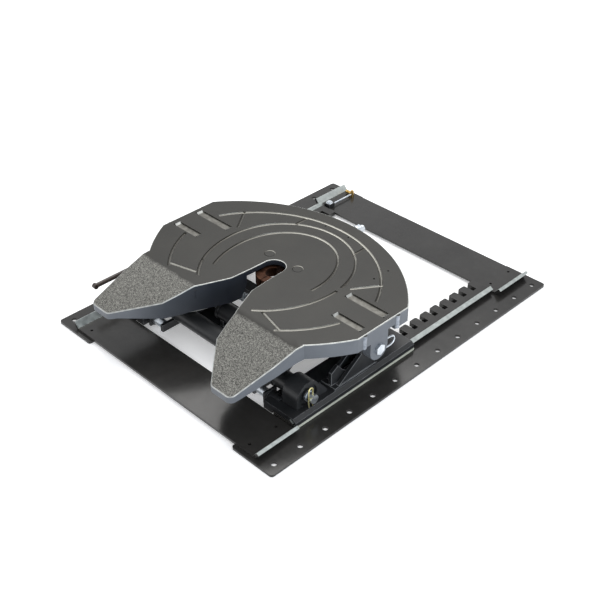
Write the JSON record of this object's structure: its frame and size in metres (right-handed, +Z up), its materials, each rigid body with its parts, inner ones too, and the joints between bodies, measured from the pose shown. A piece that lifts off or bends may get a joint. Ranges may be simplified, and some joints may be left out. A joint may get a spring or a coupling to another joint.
{
  "type": "fifth wheel hitch",
  "caption": "Sliding fifth wheel hitch: a tilting coupler plate with kingpin jaws on a carriage that slides and locks along a toothed rail frame.",
  "frame": {"origin": "on the mounting plane under the rails, midway between the rails and midway along them", "axes": "+X to the right-hand rail, +Y forwards to the truck's cab, +Z up"},
  "size_m": [1, 1.294, 0.223],
  "materials": {
    "frame_plate": "gloss dark grey paint",
    "cast_plate": "fine grained cast face",
    "black_paint": "satin black paint",
    "bright_steel": "zinc plated",
    "yellow_zinc": "yellow zinc plated",
    "elbow_brass": "satin",
    "oxide_steel": "brown oxide",
    "bush_rubber": "matt",
    "hose_jacket": "pale grey nylon"
  },
  "bodies": {
    "base_frame": {"rail_right": "frame_plate", "rail_left": "frame_plate", "rack_right": "frame_plate", "rack_left": "frame_plate", "cross_plate_front": "frame_plate", "cross_plate_rear": "frame_plate", "air_block": "black_paint", "air_block_cap": "bright_steel", "air_tube": "bright_steel", "brass_elbow": "elbow_brass"},
    "carriage": {"foot_right": "black_paint", "foot_left": "black_paint", "gib_right": "bright_steel", "gib_left": "bright_steel", "pedestal_right": "black_paint", "pedestal_left": "black_paint", "bush_right": "bush_rubber", "bush_left": "bush_rubber", "cross_tube": "black_paint", "front_tube": "black_paint", "deck": "black_paint", "lock_block_right": "black_paint", "lock_block_left": "black_paint", "block_pin_right": "bright_steel", "block_pin_left": "bright_steel", "cotter_right": "yellow_zinc", "cotter_left": "yellow_zinc", "sleeve_right": "black_paint", "sleeve_left": "black_paint", "cylinder_barrel": "black_paint", "cylinder_caps": "black_paint", "spring_rod": "bright_steel", "air_hose": "hose_jacket", "plunger_spring_right": "bright_steel", "plunger_spring_left": "bright_steel"},
    "plunger_set_right": {"plunger_right": "bright_steel", "plunger_arm_right": "black_paint", "piston_right": "bright_steel"},
    "plunger_set_left": {"plunger_left": "bright_steel", "plunger_arm_left": "black_paint", "piston_left": "bright_steel"},
    "coupler_plate": {"top_plate": "cast_plate", "bracket_pin_right": "bright_steel", "bracket_pin_left": "bright_steel", "pin_keeper_right": "bright_steel", "pin_keeper_left": "bright_steel", "lock_pins": "cast_plate", "lever_bolt": "bright_steel", "handle_guide": "black_paint", "yoke_spring": "bright_steel"},
    "lock_jaw_right": {"jaw_right": "oxide_steel"},
    "lock_jaw_left": {"jaw_left": "oxide_steel"},
    "yoke_set": {"yoke": "oxide_steel", "yoke_shaft": "bright_steel", "shaft_nut": "bright_steel"},
    "lever": {"release_lever": "black_paint"},
    "handle": {"release_handle": "black_paint"}
  },
  "joints": [
    {"name": "carriage_slide", "type": "slide", "parent": "base_frame", "child": "carriage", "axis": [0, 1, 0], "range_m": [0, 0.4064]},
    {"name": "plunger_right_slide", "type": "slide", "parent": "carriage", "child": "plunger_set_right", "axis": [1, 0, 0], "range_m": [0, 0.038], "deforming": ["plunger_spring_right"]},
    {"name": "plunger_left_slide", "type": "slide", "parent": "carriage", "child": "plunger_set_left", "axis": [-1, 0, 0], "range_m": [0, 0.038], "deforming": ["plunger_spring_left"]},
    {"name": "plate_tilt", "type": "hinge", "parent": "carriage", "child": "coupler_plate", "pos_m": [0, -0.15, 0.138], "axis": [1, 0, 0], "range_deg": [-10, 7]},
    {"name": "jaw_right_pivot", "type": "hinge", "parent": "coupler_plate", "child": "lock_jaw_right", "pos_m": [0.063, -0.112, 0.184], "axis": [0, 0, 1], "range_deg": [0, 20]},
    {"name": "jaw_left_pivot", "type": "hinge", "parent": "coupler_plate", "child": "lock_jaw_left", "pos_m": [-0.063, -0.112, 0.184], "axis": [0, 0, -1], "range_deg": [0, 20]},
    {"name": "yoke_slide", "type": "slide", "parent": "coupler_plate", "child": "yoke_set", "axis": [0, 1, 0], "range_m": [0, 0.06], "deforming": ["yoke_spring"]},
    {"name": "lever_pivot", "type": "hinge", "parent": "coupler_plate", "child": "lever", "pos_m": [0.11, 0.05, 0.154], "axis": [0, 0, -1], "range_deg": [0, 30.5]},
    {"name": "handle_pull", "type": "slide", "parent": "coupler_plate", "child": "handle", "axis": [-1, 0, 0], "range_m": [0, 0.05]}
  ],
  "couplings": [
    {"joint": "plunger_left_slide", "follows": "plunger_right_slide", "ratio": 1},
    {"joint": "lever_pivot", "follows": "handle_pull", "rad_per_m": 10.646},
    {"joint": "yoke_slide", "follows": "handle_pull", "ratio": 1.2},
    {"joint": "jaw_right_pivot", "follows": "handle_pull", "rad_per_m": 6.981},
    {"joint": "jaw_left_pivot", "follows": "handle_pull", "rad_per_m": 6.981}
  ]
}
